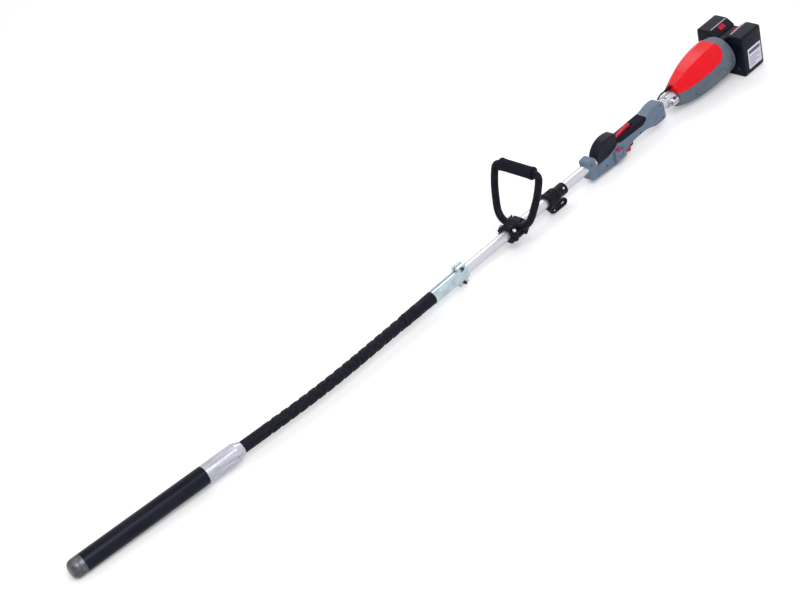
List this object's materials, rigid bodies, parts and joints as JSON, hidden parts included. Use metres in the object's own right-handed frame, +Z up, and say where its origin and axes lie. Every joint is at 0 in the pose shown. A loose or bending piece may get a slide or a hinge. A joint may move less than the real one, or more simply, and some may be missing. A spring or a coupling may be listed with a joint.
{
  "type": "cordless concrete poker vibrator on a split pole",
  "caption": "Cordless concrete poker vibrator: a steel poker on a wrapped hose, a split pole with loop and trigger handles, and a motor with slide-on battery packs.",
  "frame": {"origin": "under the middle of the object's own box, on the surface it lies on", "axes": "+X from the poker towards the batteries, +Z up, +Y to the left looking along +X"},
  "size_m": [2.329, 0.1778, 0.2049],
  "materials": {
    "black_steel": "satin",
    "cap_steel": "dull",
    "bright_steel": "machined",
    "dark_steel": "blackened",
    "rubber": "matte",
    "zinc": "bright zinc plate",
    "aluminium": "satin",
    "black_plastic": "fine grain",
    "soft_grip": "soft touch",
    "grey_plastic": "satin",
    "red_plastic": "gloss",
    "red_controls": "satin",
    "copper": "enamelled wire and lamination",
    "battery_plastic": "fine grain"
  },
  "bodies": {
    "main": {"pole_joint": "black_plastic", "lever_pin": "bright_steel", "rear_pole": "aluminium", "rear_shaft_bush": "rubber", "handle_left_shell": "grey_plastic", "handle_right_shell": "grey_plastic", "control_dome": "black_plastic", "soft_grip": "soft_grip", "trigger_skirt": "black_plastic", "switch_module": "black_plastic", "tube_clamp_upper": "aluminium", "tube_clamp_lower": "aluminium", "tube_clamp_bolt": "dark_steel", "motor_cable": "rubber", "motor_housing_left": "grey_plastic", "motor_housing_right": "grey_plastic", "motor_top_cover": "red_plastic", "motor_stator": "copper", "motor_bearing_front": "bright_steel", "motor_bearing_rear": "bright_steel", "battery_adapter": "battery_plastic"},
    "front": {"upper_hose": "rubber", "hose_sleeve": "rubber", "coupling_left_half": "zinc", "coupling_right_half": "zinc", "coupling_screw_top": "dark_steel", "coupling_screw_bottom": "dark_steel", "front_pole": "aluminium", "front_shaft_bush": "rubber"},
    "front_drive": {"upper_drive_core": "dark_steel", "front_drive_shaft": "bright_steel"},
    "motor_drive": {"rear_drive_shaft": "bright_steel", "motor_rotor": "dark_steel", "cooling_fan": "black_plastic"},
    "poker": {"poker_end_cap": "cap_steel", "poker_tube": "black_steel", "poker_collar": "bright_steel", "front_bearing": "dark_steel", "rear_bearing": "dark_steel", "shaft_seal": "rubber", "lower_hose": "rubber"},
    "eccentric": {"eccentric_rotor": "dark_steel", "lower_drive_core": "dark_steel"},
    "loop_slider": {"loop_liner": "rubber"},
    "loop_handle": {"loop_frame": "black_plastic", "loop_grip": "soft_grip", "loop_lower_clamp": "black_plastic", "loop_bolt_left": "bright_steel", "loop_bolt_right": "bright_steel", "wing_bolt_left": "dark_steel", "wing_bolt_right": "dark_steel"},
    "clamp_lever": {"clamp_lever": "black_plastic"},
    "locking_pin": {"locking_pin": "bright_steel"},
    "trigger": {"trigger": "red_controls"},
    "lock_off_lever": {"lock_off_lever": "red_controls"},
    "speed_switch": {"speed_switch": "red_controls"},
    "battery_left": {"battery_left": "battery_plastic"},
    "battery_right": {"battery_right": "battery_plastic"},
    "release_left": {"release_button_left": "red_controls"},
    "release_right": {"release_button_right": "red_controls"}
  },
  "joints": [
    {"name": "motor_spin", "type": "hinge", "parent": "main", "child": "motor_drive", "pos_m": [0.86142, -0.01099, 0.05089], "axis": [1, 0, 0.0096], "continuous": true},
    {"name": "pole_pull", "type": "slide", "parent": "main", "child": "front", "axis": [-1, 0, -0.0096], "range_m": [0, 0.04]},
    {"name": "front_drive_spin", "type": "hinge", "parent": "front", "child": "front_drive", "pos_m": [0.13245, -0.01099, 0.04392], "axis": [1, 0, 0.0096], "continuous": true},
    {"name": "hose_flex", "type": "hinge", "parent": "front", "child": "poker", "pos_m": [-0.46752, -0.01099, 0.03818], "axis": [0, 1, 0], "range_deg": [-20, 20], "stiffness_Nm_per_rad": 15},
    {"name": "eccentric_spin", "type": "hinge", "parent": "poker", "child": "eccentric", "pos_m": [-0.46752, -0.01099, 0.03818], "axis": [0.9933, -0.1132, 0.0229], "continuous": true},
    {"name": "loop_slide", "type": "slide", "parent": "front", "child": "loop_slider", "axis": [1, 0, 0.0096], "range_m": [-0.12, 0.07]},
    {"name": "loop_swivel", "type": "hinge", "parent": "loop_slider", "child": "loop_handle", "pos_m": [0.20695, -0.01099, 0.04463], "axis": [1, 0, 0.0096], "range_deg": [-45, 45]},
    {"name": "lever_open", "type": "hinge", "parent": "main", "child": "clamp_lever", "pos_m": [0.34975, -0.01099, 0.01399], "axis": [0, 1, 0], "range_deg": [0, 90]},
    {"name": "locking_pin_press", "type": "slide", "parent": "main", "child": "locking_pin", "axis": [0.006, 0.7809, -0.6247], "range_m": [0, 0.0015], "stiffness_N_per_m": 1000},
    {"name": "trigger_pull", "type": "hinge", "parent": "main", "child": "trigger", "pos_m": [0.63265, -0.01099, 0.0257], "axis": [0, -1, 0], "range_deg": [0, 12], "stiffness_Nm_per_rad": 0.5},
    {"name": "lock_off_press", "type": "hinge", "parent": "main", "child": "lock_off_lever", "pos_m": [0.62027, -0.01099, 0.06558], "axis": [0, 1, 0], "range_deg": [0, 5], "stiffness_Nm_per_rad": 0.3},
    {"name": "speed_switch_slide", "type": "slide", "parent": "main", "child": "speed_switch", "axis": [1, 0, 0.0096], "range_m": [0, 0.008]},
    {"name": "battery_left_lift", "type": "slide", "parent": "main", "child": "battery_left", "axis": [-0.0096, 0, 1], "range_m": [0, 0.075]},
    {"name": "release_left_press", "type": "slide", "parent": "battery_left", "child": "release_left", "axis": [0.0078, 0.5793, -0.8151], "range_m": [0, 0.002], "stiffness_N_per_m": 800},
    {"name": "battery_right_lift", "type": "slide", "parent": "main", "child": "battery_right", "axis": [-0.0096, 0, 1], "range_m": [0, 0.075]},
    {"name": "release_right_press", "type": "slide", "parent": "battery_right", "child": "release_right", "axis": [0.0078, -0.5793, -0.8151], "range_m": [0, 0.002], "stiffness_N_per_m": 800}
  ],
  "couplings": [
    {"joint": "front_drive_spin", "follows": "motor_spin", "ratio": 1},
    {"joint": "eccentric_spin", "follows": "motor_spin", "ratio": 1}
  ]
}
